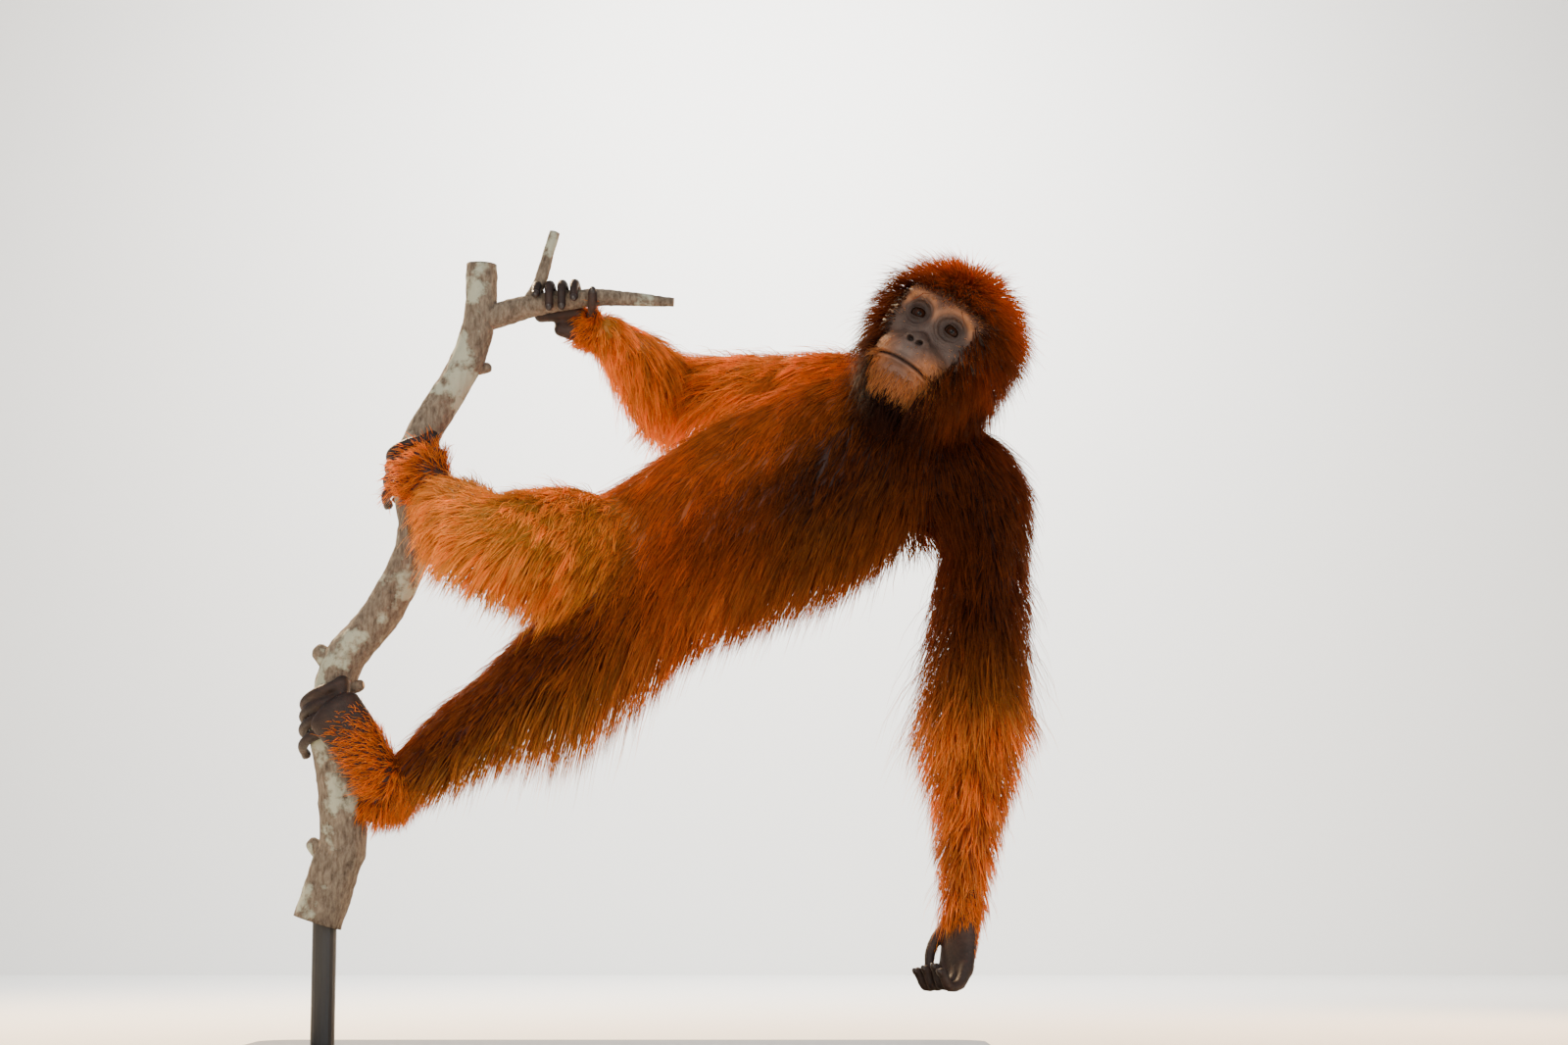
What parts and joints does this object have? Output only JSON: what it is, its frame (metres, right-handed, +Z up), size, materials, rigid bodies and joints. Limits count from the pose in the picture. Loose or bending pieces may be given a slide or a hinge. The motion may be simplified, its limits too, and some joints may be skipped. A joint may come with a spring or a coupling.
{
  "type": "orangutan museum model",
  "caption": "Still life-size orangutan gripping a leaning trunk with both feet and one hand, the other arm hanging, on a flat display base",
  "frame": {"origin": "centre of the underside of the display base", "axes": "+Z up out of the base, +X along the base from the trunk towards the head, and the animal's chest faces -Y"},
  "size_m": [1.2518, 0.6452, 1.3204],
  "materials": {
    "coat": "long red-brown hair over a packed under-coat",
    "face": "bare grey-brown skin, soft sheen",
    "skin": "dark bare skin of hands and feet",
    "eye": "wet dark brown eye",
    "bark": "rough grey-brown bark",
    "stand": "satin black powder coat"
  },
  "bodies": {
    "root": {"stand_base": "stand", "stand_rod": "stand", "perch_trunk": "bark", "perch_branch": "bark", "eye_right": "eye", "eye_left": "eye", "head": "face", "ear_right": "face", "ear_left": "face", "chest": "coat", "belly": "coat", "pelvis": "coat", "neck": "coat", "upper_arm_right": "coat", "upper_arm_left": "coat", "thigh_right": "coat", "thigh_left": "coat", "forearm_right": "coat", "forearm_left": "coat", "shin_right": "coat", "shin_left": "coat", "hand_right": "skin", "hand_left": "skin", "foot_right": "skin", "foot_left": "skin"}
  },
  "joints": []
}
